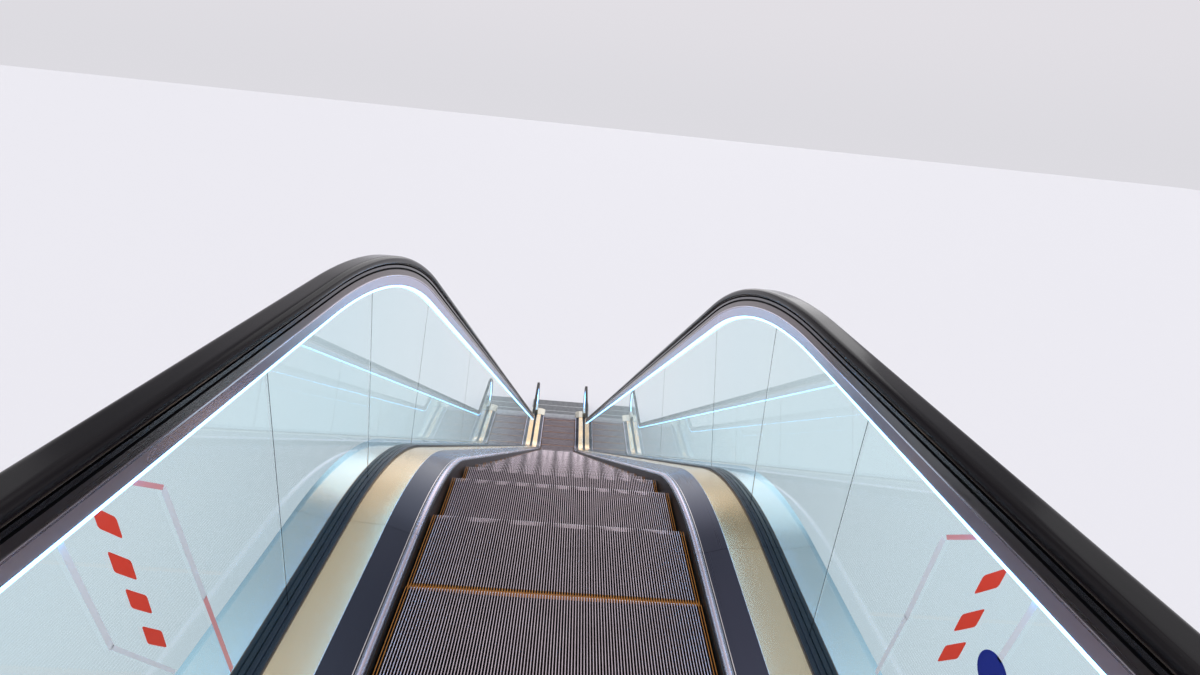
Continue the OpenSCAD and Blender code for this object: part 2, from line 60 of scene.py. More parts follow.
def noise(tree, scale, stretch=(1, 1, 1), detail=5.0, roughness=0.6, space="Object"):
    """Noise read at the surface's own coordinates, each axis of them stretched by its own factor."""
    coords = tree.nodes.new("ShaderNodeTexCoord")
    mapping = tree.nodes.new("ShaderNodeMapping")
    mapping.inputs["Scale"].default_value = stretch
    texture = tree.nodes.new("ShaderNodeTexNoise")
    texture.inputs["Scale"].default_value = scale
    texture.inputs["Detail"].default_value = detail
    texture.inputs["Roughness"].default_value = roughness
    tree.links.new(coords.outputs[space], mapping.inputs["Vector"])
    tree.links.new(mapping.outputs["Vector"], texture.inputs["Vector"])
    return texture.outputs["Fac"]


def between(tree, value, low, high, start=0.3, end=0.7):
    """The value's range from start to end, stretched to run from low to high."""
    mapped = tree.nodes.new("ShaderNodeMapRange")
    mapped.inputs["From Min"].default_value = start
    mapped.inputs["From Max"].default_value = end
    mapped.inputs["To Min"].default_value = low
    mapped.inputs["To Max"].default_value = high
    tree.links.new(value, mapped.inputs["Value"])
    return mapped.outputs["Result"]


def plus(tree, first, second):
    """Sum of two values."""
    add = tree.nodes.new("ShaderNodeMath")
    add.operation = "ADD"
    tree.links.new(first, add.inputs[0])
    tree.links.new(second, add.inputs[1])
    return add.outputs[0]


def blend_colours(tree, value, first, second):
    """First colour where the value is 0, second where it is 1; each is a colour or another output."""
    mix = tree.nodes.new("ShaderNodeMix")
    mix.data_type = "RGBA"
    for socket, colour in ((mix.inputs[6], first), (mix.inputs[7], second)):
        if isinstance(colour, tuple):
            socket.default_value = (*colour, 1)
        else:
            tree.links.new(colour, socket)
    tree.links.new(value, mix.inputs[0])
    return mix.outputs[2]


def raise_by(tree, shader, value, distance, strength=0.5):
    """Bumps the shader's normal by the value, a height in metres where it is 1."""
    bump = tree.nodes.new("ShaderNodeBump")
    bump.inputs["Distance"].default_value = distance
    bump.inputs["Strength"].default_value = strength
    tree.links.new(value, bump.inputs["Height"])
    tree.links.new(bump.outputs["Normal"], shader.inputs["Normal"])


def coated(name, colour, shade, rough, grain=60.0, relief=0.0002, specular=0.5):
    """Paint, primer or rubber: slow patches between two shades, fine grain in gloss and relief."""
    made, tree, shader = new_material(name)
    slow = between(tree, noise(tree, 1.3), 0, 1)
    tree.links.new(blend_colours(tree, slow, colour, shade), shader.inputs["Base Color"])
    fine = noise(tree, grain, detail=8.0)
    tree.links.new(between(tree, fine, rough * 0.8, rough * 1.2), shader.inputs["Roughness"])
    raise_by(tree, shader, fine, relief)
    shader.inputs["Specular IOR Level"].default_value = specular
    return made


def dress(material, *names):
    """Puts one material on carried-over CAD nodes."""
    for name in names:
        nodes[name].data.materials.clear()
        nodes[name].data.materials.append(material)


primer = coated("housing primer", (0.17, 0.18, 0.19), (0.22, 0.22, 0.23), 0.55)
dress(primer, "step_bed", "left_housing", "right_housing", "base_plate", "upper_bearing")

# Cladding, soffit and end cover
# Sheets of satin stainless steel are hung on the housing's sides, with open joints between them.
# The underside and the upper end are closed by painted sheets.


def brushed(name, colour, second, rough, hairs=(1.5, 450, 1), streaks=(0.5, 34, 1), space="UV",
            contrast=0.04, relief=0.000002, patches=(1, 1, 1)):
    """Brushed metal: hairlines and soft long streaks along the piece vary tone, gloss and relief, and
    slow clouds lead from one colour to the second, as where hands and cloths have passed."""
    made, tree, shader = new_material(name)
    hair = noise(tree, 1.0, hairs, detail=2.0, space=space)
    streak = noise(tree, 1.0, streaks, detail=2.0, space=space)
    cloud = between(tree, noise(tree, 1.1, patches, detail=1.0), 0, 1, 0.35, 0.65)
    lines = plus(tree, between(tree, hair, 0, 0.3, 0.2, 0.8), between(tree, streak, 0, 0.7))
    shades = [tuple(c * (1 + shift) for c in tone)
              for tone in (colour, second) for shift in (-contrast, contrast)]
    tone = blend_colours(tree, cloud, blend_colours(tree, lines, shades[0], shades[1]),
                         blend_colours(tree, lines, shades[2], shades[3]))
    tree.links.new(tone, shader.inputs["Base Color"])
    gloss = plus(tree, between(tree, lines, rough * 0.94, rough * 1.06), between(tree, cloud, -0.01, 0.02))
    tree.links.new(gloss, shader.inputs["Roughness"])
    raise_by(tree, shader, hair, relief)
    shader.inputs["Metallic"].default_value = 1.0
    return made


cladding_steel = brushed("cladding steel", (0.52, 0.53, 0.55), (0.55, 0.56, 0.575), 0.34,
                         hairs=(2, 2, 220), streaks=(0.4, 0.4, 14), space="Object", contrast=0.02,
                         relief=0.0000006)
dress(cladding_steel, "left_cladding", "right_cladding")
soffit_paint = coated("soffit paint", (0.40, 0.41, 0.42), (0.45, 0.46, 0.47), 0.45)
dress(soffit_paint, "soffit", "upper_end_cover")

# Route
# The line of the step noses: level at both landings, one straight incline between two round curves.
# Everything along the machine is a cross-section carried along this line.
slope = math.radians(30)
upper_radius, lower_radius = 1.85, 1.5
level_below, level_above = 1.65, 1.65
z_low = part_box("lower_landing_steps")[1].z
z_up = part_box("upper_landing_steps")[1].z
y_comb_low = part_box("lower_comb_plate")[0].y
y_low = y_comb_low - level_below
curves_drop = (upper_radius + lower_radius) * (1 - math.cos(slope))
incline = (z_up - z_low - curves_drop) / math.sin(slope)
y_up = y_low - (upper_radius + lower_radius) * math.sin(slope) - incline * math.cos(slope)
s_head = upper_radius * slope
s_foot = s_head + incline
s_low = s_foot + lower_radius * slope
CURVE_STEPS = 24


def tread_line(s):
    """Nose line at lengths s, 0 at the start of the upper curve: y, z and the tilt of its normal."""
    up = np.clip(s, 0, s_head) / upper_radius
    down = np.clip(s - s_foot, 0, s_low - s_foot) / lower_radius
    tilt = up - down
    y = (y_up + np.minimum(s, 0) + upper_radius * np.sin(up)
         + np.clip(s - s_head, 0, incline) * math.cos(slope)
         + lower_radius * (math.sin(slope) - np.sin(slope - down)) + np.maximum(s - s_low, 0))
    z = (z_up - upper_radius * (1 - np.cos(up)) - np.clip(s - s_head, 0, incline) * math.sin(slope)
         - lower_radius * (np.cos(slope - down) - math.cos(slope)))
    return y, z, tilt


def lengths(start, end):
    """Stations between two lengths: the ends, and close steps in the curves."""
    bends = np.concatenate([np.linspace(0, s_head, CURVE_STEPS + 1),
                            np.linspace(s_foot, s_low, CURVE_STEPS + 1)])
    inner = bends[(bends > start + 1e-6) & (bends < end - 1e-6)]
    return np.concatenate([[start], inner, [end]])


# Steps
# Each step is one aluminium casting with cleats over its tread and its curved riser, about 9 mm apart.
# The cleats' tops and the nose are worn bright, the nose also painted brighter as a glint; the grooves are
# painted near-black as shade; orange plastic marks sides and rear.
step_width = 1.0
tread_depth = 0.4
step_pitch = 0.404
first_step = 0.225
cleats = 108
cleat_pitch = step_width / cleats
cleat_top, cleat_foot, cleat_depth = 0.0025, 0.0044, 0.011
casting = 0.026
riser_turn = math.radians(31)
orange_cleats, rear_mark = 2, 0.024
# The band at the nose is worn bright and also painted brighter as a glint.
nose_round, nose_wear_and_glint = 0.004, 0.006
bed_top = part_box("base_plate")[1].z + 0.0004
# Groove flanks and floors take near-black paint that stands for the shade in them; the nose band takes a
# painted glint.
TOP, ORANGE, INSIDE, GROOVE_SHADE, WORN_GLINT = range(5)


def cleat_profile():
    """Points across a step: for each cleat its foot, two top corners and foot; depth 0 on top."""
    middle = (np.arange(cleats) + 0.5) * cleat_pitch - step_width / 2
    x = (middle[:, None] + np.array([-cleat_foot, -cleat_top, cleat_top, cleat_foot]) / 2).ravel()
    depth = np.tile([cleat_depth, 0, 0, cleat_depth], cleats)
    x[0], x[-1] = -step_width / 2, step_width / 2
    return x, depth


def step_outline(depth, turn, stations):
    """Side view of the step at each depth under its surface: the flat tread from the rear to the
    nose, a quadratic curve round the nose, then the riser, an arc about the tread's rear edge.
    Rows are stations, columns depths."""
    radius = tread_depth - depth
    corner = np.arcsin(depth / radius)
    start = corner + nose_round / radius
    y_corner = radius * np.cos(corner) - tread_depth
    y_flat = np.stack([0 * depth - tread_depth, 0 * depth + rear_mark - tread_depth,
                       y_corner - nose_wear_and_glint, y_corner - nose_round])
    first = np.stack([y_corner - nose_round, -depth])
    last = np.stack([radius * np.cos(start) - tread_depth, -radius * np.sin(start)])
    t = np.array([0.3, 0.65])[:, None, None]
    turned = (1 - t) ** 2 * first + 2 * t * (1 - t) * np.stack([y_corner, -depth]) + t ** 2 * last
    angle = start + (np.maximum(turn, start) - start) * np.linspace(0, 1, stations)[:, None]
    y = np.vstack([y_flat, turned[:, 0], radius * np.cos(angle) - tread_depth])
    z = np.vstack([np.broadcast_to(-depth, y_flat.shape), turned[:, 1], -radius * np.sin(angle)])
    return y, z


def casting_mesh(turn):
    """Vertices and faces of one hollow step: the cleated skin, a smooth inner skin and the rims."""
    x, depth = cleat_profile()
    outer_y, outer_z = step_outline(depth, turn, 5)
    rows, columns = outer_y.shape
    inner_y, inner_z = step_outline(np.full(2, casting), turn, 5)
    outer = np.stack([np.broadcast_to(x, outer_y.shape), outer_y, outer_z], -1).reshape(-1, 3)
    inner_x = np.broadcast_to([-step_width / 2, step_width / 2], inner_y.shape)
    inner = np.stack([inner_x, inner_y, inner_z], -1).reshape(-1, 3)
    grid = np.arange(rows * columns).reshape(rows, columns)
    low = rows * columns + np.arange(rows * 2).reshape(rows, 2)
    quads = np.stack([grid[:-1, :-1], grid[:-1, 1:], grid[1:, 1:], grid[1:, :-1]], -1)
    row = np.arange(rows - 1)[:, None]
    column = np.arange(columns - 1)
    cleat, part = column // 4, column % 4
    marks = np.where(part == 1, TOP, GROOVE_SHADE) + 0 * row
    marks = np.where((part == 1) & (row >= 2) & (row <= 5), WORN_GLINT, marks)
    beside = (cleat < orange_cleats) | (cleat >= cleats - orange_cleats)
    marks = np.where((part == 1) & beside & (row <= 3), ORANGE, marks)
    marks = np.where(row == 0, ORANGE, marks)
    faces = [tuple(f) for f in quads.reshape(-1, 4)]
    paint = list(marks.ravel())
    for i in range(rows - 1):
        faces.append((low[i, 0], low[i + 1, 0], low[i + 1, 1], low[i, 1]))
        faces.append((grid[i + 1, 0], low[i + 1, 0], low[i, 0], grid[i, 0]))
        faces.append((low[i, 1], low[i + 1, 1], grid[i + 1, -1], grid[i, -1]))
        paint += [INSIDE, INSIDE, INSIDE]
    faces.append((tuple(grid[0]) + (low[0, 1], low[0, 0]))[::-1])
    faces.append(tuple(grid[-1]) + (low[-1, 1], low[-1, 0]))
    paint += [INSIDE, INSIDE]
    return np.vstack([outer, inner]), faces, paint


def mesh_piece(name, points, faces, materials, paint=None, sharp=30):
    """A piece from points and faces, smooth but for edges over the sharp angle in degrees."""
    mesh = bpy.data.meshes.new(name)
    mesh.from_pydata(np.asarray(points, float).tolist(), [], [tuple(map(int, f)) for f in faces])
    for material in materials:
        mesh.materials.append(material)
    if paint is not None:
        mesh.polygons.foreach_set("material_index", np.asarray(paint, np.int32))
    mesh.polygons.foreach_set("use_smooth", np.ones(len(mesh.polygons), bool))
    mesh.set_sharp_from_angle(angle=math.radians(sharp))
    mesh.update()
    made = bpy.data.objects.new(name, mesh)
    bpy.context.scene.collection.objects.link(made)
    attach(made, "root")
    return made


def cast_metal(name, colour, second, rough, metallic=0.9):
    """Cast aluminium: two greys in patches, fine pits in gloss and relief."""
    made, tree, shader = new_material(name)
    wear = between(tree, noise(tree, 9.0), 0, 1)
    tree.links.new(blend_colours(tree, wear, colour, second), shader.inputs["Base Color"])
    pits = noise(tree, 900.0, detail=3.0)
    tree.links.new(between(tree, pits, rough * 0.8, rough * 1.2), shader.inputs["Roughness"])
    raise_by(tree, shader, pits, 0.0001)
    shader.inputs["Metallic"].default_value = metallic
    return made


# The groove paint is painted shade; the nose paint is wear with a painted glint.
step_paints = [cast_metal("cleat tops", (0.56, 0.46, 0.50), (0.66, 0.545, 0.60), 0.32),
               coated("orange inserts", (0.50, 0.19, 0.022), (0.38, 0.14, 0.018), 0.45),
               coated("step casting inside", (0.05, 0.05, 0.055), (0.07, 0.07, 0.075), 0.6),
               coated("step grooves painted shade", (0.006, 0.005, 0.006), (0.010, 0.009, 0.010), 0.7, specular=0.1),
               cast_metal("worn noses painted glint", (0.68, 0.62, 0.70), (0.78, 0.73, 0.80), 0.30)]
way_up = -level_above + first_step
route_end = s_low + level_below
past_the_ends = 9
groups = {"upper_landing_steps": (-past_the_ends, 0), "upper_curve_steps": (0, s_head),
          "upper_incline_steps": (s_head, s_head + incline / 3),
          "middle_incline_steps": (s_head + incline / 3, s_head + incline * 2 / 3),
          "lower_incline_steps": (s_head + incline * 2 / 3, s_foot),
          "lower_curve_steps": (s_foot, s_low), "lower_landing_steps": (s_low, s_low + past_the_ends)}
noses = way_up + step_pitch * np.arange(int((route_end + tread_depth - way_up) / step_pitch) + 1)
for group, (from_s, to_s) in groups.items():
    points, faces, paint = [], [], []
    for nose in noses[(noses > from_s) & (noses <= to_s)]:
        y, z, _ = (float(v) for v in tread_line(np.array(nose)))
        room = min((z - bed_top) / tread_depth, math.sin(riser_turn))
        new_points, new_faces, new_paint = casting_mesh(math.asin(room))
        base = sum(len(p) for p in points)
        points.append(new_points + (0, y, z))
        faces += [tuple(i + base for i in f) for f in new_faces]
        paint += new_paint
    cleated = mesh_piece("cleated_" + group, np.vstack(points), faces, step_paints, paint)
    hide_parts(group)

# Comb plates
# Cast aluminium combs in five segments, ribbed on top, with a tooth in every groove of the steps.
# Two countersunk screws hold each segment down.
LANDINGS = {"upper": (-1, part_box("upper_comb_plate")[1].y, z_up), "lower": (1, y_comb_low, z_low)}
comb_length = 0.25
comb_segments = 5
comb_underside = 0.002
rib_stations = np.array([0.0, 0.034, 0.044, 0.100, comb_length])
rib_tops = np.array([-0.0035, 0.0052, 0.0077, 0.022, 0.022])
rib_feet = np.array([-0.005, -0.005, 0.003, 0.012, 0.015])
comb_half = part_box("lower_comb_plate")[1].x
rib_height = 0.0015
tooth_half, tooth_taper = 0.002, 0.0004
screw_out, screw_radius, screw_lift = 0.17, 0.007, 0.0001
screw_shares = (0.25, 0.75)


def prisms(x_low, x_high, narrow, y, low, high):
    """Bars along y: each has its own x range, narrower by 2*narrow on top, and shares the lines of
    y, low and high. Every bar is closed by quads round it and at both its ends."""
    x_low, x_high = np.atleast_1d(x_low)[:, None], np.atleast_1d(x_high)[:, None]
    rows = len(y)
    ones = np.ones((len(x_low), rows))
    corners = [(x_low, low), (x_high, low), (x_high - narrow, high), (x_low + narrow, high)]
    points = np.stack([np.stack([x * ones, y * ones, z * ones], -1) for x, z in corners], 2)
    ids = np.arange(points.size // 3).reshape(len(x_low), rows, 4)
    ahead = np.roll(ids, -1, 2)
    around = np.stack([ids[:, :-1], ids[:, 1:], ahead[:, 1:], ahead[:, :-1]], -1).reshape(-1, 4)
    faces = np.vstack([around, ids[:, 0], ids[:, -1, ::-1]])
    return points.reshape(-1, 3), faces


def joined(parts):
    """One list of points and faces from several, with the faces' numbers moved on."""
    starts = np.concatenate([[0], np.cumsum([len(p) for p, _ in parts])])
    faces = [tuple(int(i) + int(start) for i in f) for (_, fs), start in zip(parts, starts) for f in fs]
    return np.vstack([p for p, _ in parts]), faces


def towards(parts, direction, y, z):
    """Parts drawn away from a comb's tips at y 0, turned to a landing's direction and put in place."""
    points, faces = joined(parts)
    if direction < 0:
        faces = [f[::-1] for f in faces]
    return points * (1, direction, 1) + (0, y, z), faces


def screw_head(x, y, z, radius):
    """A countersunk head: rings from the edge to a hexagonal socket and down to its floor."""
    depth, bevel, socket_depth = 0.002, 0.0003, 0.0016
    turn = np.arange(24) * math.pi / 12
    hexagon = np.cos(math.pi / 6) / np.cos((turn + math.pi / 6) % (math.pi / 3) - math.pi / 6)
    socket = radius * 0.42 * hexagon
    rings = [(radius, -depth), (radius, -bevel), (radius * 0.93, 0.0)]
    made = [np.column_stack([r * np.cos(turn), r * np.sin(turn), 0 * turn + h]) for r, h in rings]
    for h in (0.0, -socket_depth):
        made.append(np.column_stack([socket * np.cos(turn), socket * np.sin(turn), 0 * turn + h]))
    points = np.vstack(made) + (x, y, z)
    ids = np.arange(len(points)).reshape(5, 24)
    ahead = np.roll(ids, -1, 1)
    faces = [tuple(q) for q in np.stack([ids[:-1], ahead[:-1], ahead[1:], ids[1:]], -1).reshape(-1, 4)]
    return points, faces + [tuple(ids[-1]), tuple(ids[0][::-1])]


comb_metal = cast_metal("comb castings", (0.32, 0.32, 0.35), (0.42, 0.42, 0.45), 0.38)
screw_steel = cast_metal("screw steel", (0.58, 0.58, 0.59), (0.68, 0.68, 0.70), 0.25, 1.0)
tooth_middles = np.arange(1, cleats) * cleat_pitch - step_width / 2
segment = 2 * comb_half / comb_segments
gap = 0.0004
for landing, (direction, y_tip, z_line) in LANDINGS.items():
    edges = np.arange(comb_segments) * segment - comb_half
    bodies = prisms(edges + gap, edges + segment - gap, 0, rib_stations[2:], comb_underside,
                    rib_tops[2:] - rib_height)
    teeth = prisms(tooth_middles - tooth_half, tooth_middles + tooth_half, tooth_taper, rib_stations,
                   rib_feet, rib_tops)
    comb = mesh_piece(f"{landing}_comb", *towards([bodies, teeth], direction, y_tip, z_line), [comb_metal])
    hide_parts(f"{landing}_comb_plate")
    heads = [screw_head(edge + segment * share, screw_out, rib_tops[-1] + screw_lift, screw_radius)
             for edge in edges for share in screw_shares]
    screws = mesh_piece(f"{landing}_comb_screws", *towards(heads, direction, y_tip, z_line), [screw_steel])

# Floor plates
# Access covers lie in steel frames behind each comb; dark ribbed aluminium fills them.
# One cover lies between the newels and two wider ones behind them.
frame_bar, cover_depth, floor_rib = 0.014, 0.020, 0.0014
rib_from, rib_to, rib_taper, rib_under, bar_taper = 0.001, 0.0065, 0.0007, 0.0002, 0.0005
plate_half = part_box("lower_floor_plate")[1].x
plate_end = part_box("lower_floor_plate")[1].y - y_comb_low
newel_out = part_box("lower_handrail_inlets")[1].y - y_comb_low
plate_top = rib_tops[-1]
plate_joint = 0.0006


def cover(half, start, end):
    """A ribbed field and the four bars of its frame, as bars along y."""
    inner = half - frame_bar
    ribs = int(2 * inner / cleat_pitch)
    left = (np.arange(ribs) - ribs / 2) * cleat_pitch
    ends = np.array([start + frame_bar, end - frame_bar])
    foot, top = plate_top - cover_depth, plate_top
    field = prisms(-inner, inner, 0, ends, foot, top - floor_rib)
    raised = prisms(left + rib_from, left + rib_to, rib_taper, ends, top - floor_rib, top - rib_under)
    sides = prisms(np.array([-half, inner]), np.array([-inner, half]), bar_taper,
                   np.array([start, end]), foot, top)
    cross = [prisms(-inner, inner, 0, np.array(bar), foot, top)
             for bar in ((start, start + frame_bar), (end - frame_bar, end))]
    return joined([field, raised]), joined([sides] + cross)


middle_row = (newel_out + plate_end) / 2
covers = [cover(comb_half, comb_length + plate_joint, newel_out),
          cover(plate_half, newel_out + plate_joint, middle_row - gap),
          cover(plate_half, middle_row + gap, plate_end)]
ribbed_metal = cast_metal("floor plate ribs", (0.13, 0.135, 0.15), (0.20, 0.205, 0.22), 0.40)
frame_metal = cast_metal("floor plate frames", (0.40, 0.40, 0.42), (0.50, 0.50, 0.52), 0.32)
for landing, place in LANDINGS.items():
    fields = mesh_piece(f"{landing}_floor_ribs", *towards([c[0] for c in covers], *place), [ribbed_metal])
    frames = mesh_piece(f"{landing}_floor_frames", *towards([c[1] for c in covers], *place), [frame_metal])
    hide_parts(f"{landing}_floor_plate")

# Skirts
# Black sheets stand beside the steps with a 4 mm gap; a low-friction coating makes them satin.
# They come in lengths that meet in hairline joints.
skirt_coat = coated("skirt coating", (0.010, 0.010, 0.012), (0.016, 0.016, 0.018), 0.32,
                    grain=220.0, specular=0.3)
dress(skirt_coat, "left_skirt", "right_skirt")

# Skirt trims
# A round polished stainless rail with a faint lilac tone closes the top of each skirt.
# It is rolled in lengths and clipped over the skirt's edge.
incline_sheets = 5
joint = 0.0006
y_inside_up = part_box("right_inner_deck")[0].y
y_inside_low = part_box("right_inner_deck")[1].y


def over_treads(node):
    """Lowest x, highest x and highest point over the tread line of a node on the right side."""
    low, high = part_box(node)
    return low.x, high.x, high.z - z_up


def runs(y_start, y_end):
    """Lengths of sheet between two places on the landings, each (first station, last station)."""
    incline_cuts = s_head + incline * np.arange(incline_sheets) / incline_sheets
    cuts = np.concatenate([[y_start - y_up, 0], incline_cuts, [s_foot, s_low, s_low + y_end - y_low]])
    return [(a + joint, b - joint) for a, b in zip(cuts[:-1], cuts[1:])]


def carry(outline, y, z, tilt):
    """The outline's (x, h) points carried along the line: x stays, h runs along the tilted normal."""
    x = np.broadcast_to(outline[:, 0], (len(y), len(outline)))
    h = outline[:, 1]
    return np.stack([x, y[:, None] + np.sin(tilt)[:, None] * h, z[:, None] + np.cos(tilt)[:, None] * h], -1)


def sweep(name, side, outlines, lines, materials, bands=None, sharp=30):
    """A piece of outlines carried along lines, closed at its ends. Its UV map holds the length
    along the line and the way round the outline, in metres. bands gives each edge a material."""
    points, faces, paint, uvs, count = [], [], [], [], 0
    for outline in outlines:
        outline = np.asarray(outline, float) * (side, 1)
        ahead = np.roll(outline, -1, 0)
        edge = np.zeros(len(outline), int) if bands is None else np.asarray(bands)
        if np.sum(ahead[:, 0] * outline[:, 1] - outline[:, 0] * ahead[:, 1]) > 0:
            outline = outline[::-1]
            edge = np.roll(edge[::-1], -1)
        steps = np.hypot(*(np.roll(outline, -1, 0) - outline).T)
        around = np.concatenate([[0], np.cumsum(steps)])
        for y, z, tilt in lines:
            ring = carry(outline, y, z, tilt)
            rows, columns = ring.shape[:2]
            strides = np.linalg.norm(np.diff(ring.mean(1), axis=0), axis=1)
            along = np.concatenate([[0], np.cumsum(strides)]) + len(points) * 0.37
            ids = count + np.arange(rows * columns).reshape(rows, columns)
            wrap = np.concatenate([ids, ids[:, :1]], 1)
            quads = np.stack([wrap[:-1, :-1], wrap[1:, :-1], wrap[1:, 1:], wrap[:-1, 1:]], -1)
            corner_u = np.stack([along[:-1], along[1:], along[1:], along[:-1]], -1)[:, None, :]
            corner_v = np.stack([around[:-1], around[:-1], around[1:], around[1:]], -1)[None, :, :]
            uvs.append(np.stack(np.broadcast_arrays(corner_u, corner_v), -1).reshape(-1, 2))
            uvs += [outline, outline[::-1]]
            points.append(ring.reshape(-1, 3))
            faces += [tuple(q) for q in quads.reshape(-1, 4)] + [tuple(ids[0]), tuple(ids[-1][::-1])]
            paint += list(np.tile(edge, rows - 1)) + [0, 0]
            count += rows * columns
    made = mesh_piece(name, np.vstack(points), faces, materials, paint, sharp)
    layer = made.data.uv_layers.new(name="UVMap")
    layer.data.foreach_set("uv", np.vstack(uvs).astype(np.float32).ravel())
    return made


def both_sides(name, outlines, lines, materials, slot, bands=None, sharp=30):
    """The same piece on the left and on the right, each standing for the CAD node of its slot's name."""
    for side, sign in SIDES.items():
        made = sweep(f"{side}_{name}", sign, outlines, lines, materials, bands, sharp)
        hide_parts(f"{side}_{slot}")


x0, x1, top = over_treads("right_skirt_trim")
trim_radius = (x1 - x0) / 2
turn = np.linspace(0, 2 * math.pi, 33)[:-1]
trim_outline = np.column_stack([x0 + trim_radius + trim_radius * np.cos(turn),
                                top - trim_radius + trim_radius * np.sin(turn)])
deck_lines = [tread_line(lengths(a, b)) for a, b in runs(y_inside_up, y_inside_low)]
trim_metal = brushed("trim metal", (0.52, 0.46, 0.54), (0.62, 0.56, 0.65), 0.24, contrast=0.02)
both_sides("trim_rail", [trim_outline], deck_lines, [trim_metal], "skirt_trim")

# Lower decks
# A narrow deck of brushed steel rises from the trim to the inner deck; its near-black slate-blue tone is
# painted shade.
# It is sheet steel, in lengths that meet in hairline joints.
sheet_thickness = 0.003
sheet_lip = 0.0022
under_trim = 0.003


def deck_sheet(x_in, h_in, x_out, h_out):
    """Outline of a deck sheet between two edges: a narrow lip at its inner edge, the deck, the back."""
    t = np.concatenate([[0], np.linspace(sheet_lip / (x_out - x_in), 1, 8)])
    over = np.column_stack([x_in + (x_out - x_in) * t, h_in + (h_out - h_in) * t])
    return np.vstack([over, over[::-1] - (0, sheet_thickness)])


def lip_bands(outline):
    """The first edge takes the second material, the others the first."""
    return [1] + [0] * (len(outline) - 1)


x0, x1, top = over_treads("right_lower_deck")
trim_top = over_treads("right_skirt_trim")[2]
sheet = deck_sheet(x0, trim_top - under_trim, x1, top)
deck_hairs, deck_streaks = (0.8, 260, 1), (0.2, 9, 1)
# Near-black slate-blue base colour: painted shade on the brushed steel.
lower_deck_shade_metal = brushed("lower deck metal painted shade", (0.040, 0.046, 0.068), (0.054, 0.056, 0.083), 0.26,
                      deck_hairs, deck_streaks, contrast=0.03, relief=0.0000004)
# Each sheet's lip is polished metal, painted brighter than the deck as a highlight along its edge.
lip_highlight_metal = brushed("polished edges painted highlight", (0.68, 0.63, 0.64), (0.76, 0.71, 0.72), 0.26, contrast=0.02)
both_sides("dark_deck", [sheet], deck_lines, [lower_deck_shade_metal, lip_highlight_metal], "lower_deck", lip_bands(sheet))

# Inner decks
# The inner deck is champagne-coloured brushed steel between the lower deck and the glass clamp.
# Its sheets end in a narrow lip over the lower deck, polished and painted bright as a highlight.
x0, x1, inner_top = over_treads("right_inner_deck")
sheet = deck_sheet(x0, top, x1, inner_top)
inner_metal = brushed("inner deck metal", (0.86, 0.61, 0.36), (0.74, 0.58, 0.41), 0.22, deck_hairs,
                      deck_streaks, contrast=0.02, relief=0.0000002, patches=(0.2, 1.2, 0.2))
both_sides("champagne_deck", [sheet], deck_lines, [inner_metal, lip_highlight_metal], "inner_deck", lip_bands(sheet))

# Glass clamps and gaskets
# An aluminium channel grips the foot of the glass; a black rubber gasket with two ribs fills it on
# both sides of the glass.
clamp_metal = cast_metal("clamp metal", (0.40, 0.41, 0.45), (0.48, 0.49, 0.53), 0.35)
dress(clamp_metal, "left_glass_clamp", "right_glass_clamp")
gasket_low, gasket_high, gasket_top = over_treads("right_gasket")
clamp_top = over_treads("right_glass_clamp")[2]
glass_x0, glass_x1, _ = over_treads("right_glass")
slack = 0.0003
gasket_groove, gasket_round = 0.005, 0.0015
# Black rubber with a blue tint painted in as reflection.
gasket_rubber_blue_reflection = coated("gasket rubber painted blue reflection", (0.010, 0.018, 0.032), (0.016, 0.028, 0.048), 0.34, specular=0.3)


def rounded(corners, radius, turns=3):
    """An outline with each corner replaced by a quadratic curve that touches both its edges."""
    points = np.asarray(corners, float)
    made = []
    for before, corner, after in zip(np.roll(points, 1, 0), points, np.roll(points, -1, 0)):
        back, ahead = before - corner, after - corner
        reach = min(radius, 0.45 * np.hypot(*back), 0.45 * np.hypot(*ahead))
        a, b = corner + back / np.hypot(*back) * reach, corner + ahead / np.hypot(*ahead) * reach
        t = np.linspace(0, 1, turns)[:, None]
        made.append((1 - t) ** 2 * a + 2 * t * (1 - t) * corner + t ** 2 * b)
    return np.vstack(made)


def gasket_half(x_in, x_out):
    """Outline of one gasket: two ribs with a V-shaped groove between them."""
    low, middle, half = clamp_top + slack, (x_in + x_out) / 2, gasket_groove / 2
    corners = [(x_in, low), (x_out, low), (x_out, gasket_top), (middle + half, gasket_top),
               (middle, gasket_top - gasket_groove), (middle - half, gasket_top), (x_in, gasket_top)]
    return rounded(corners, gasket_round)


gaskets = [gasket_half(gasket_low, glass_x0 - slack), gasket_half(glass_x1 + slack, gasket_high)]
both_sides("gasket_strips", gaskets, deck_lines, [gasket_rubber_blue_reflection], "gasket")

# Glass
# Clear toughened panes, 10 mm thick with a blue-green cast, carry the handrail guides.
# They stand in the clamps, with open joints between them.


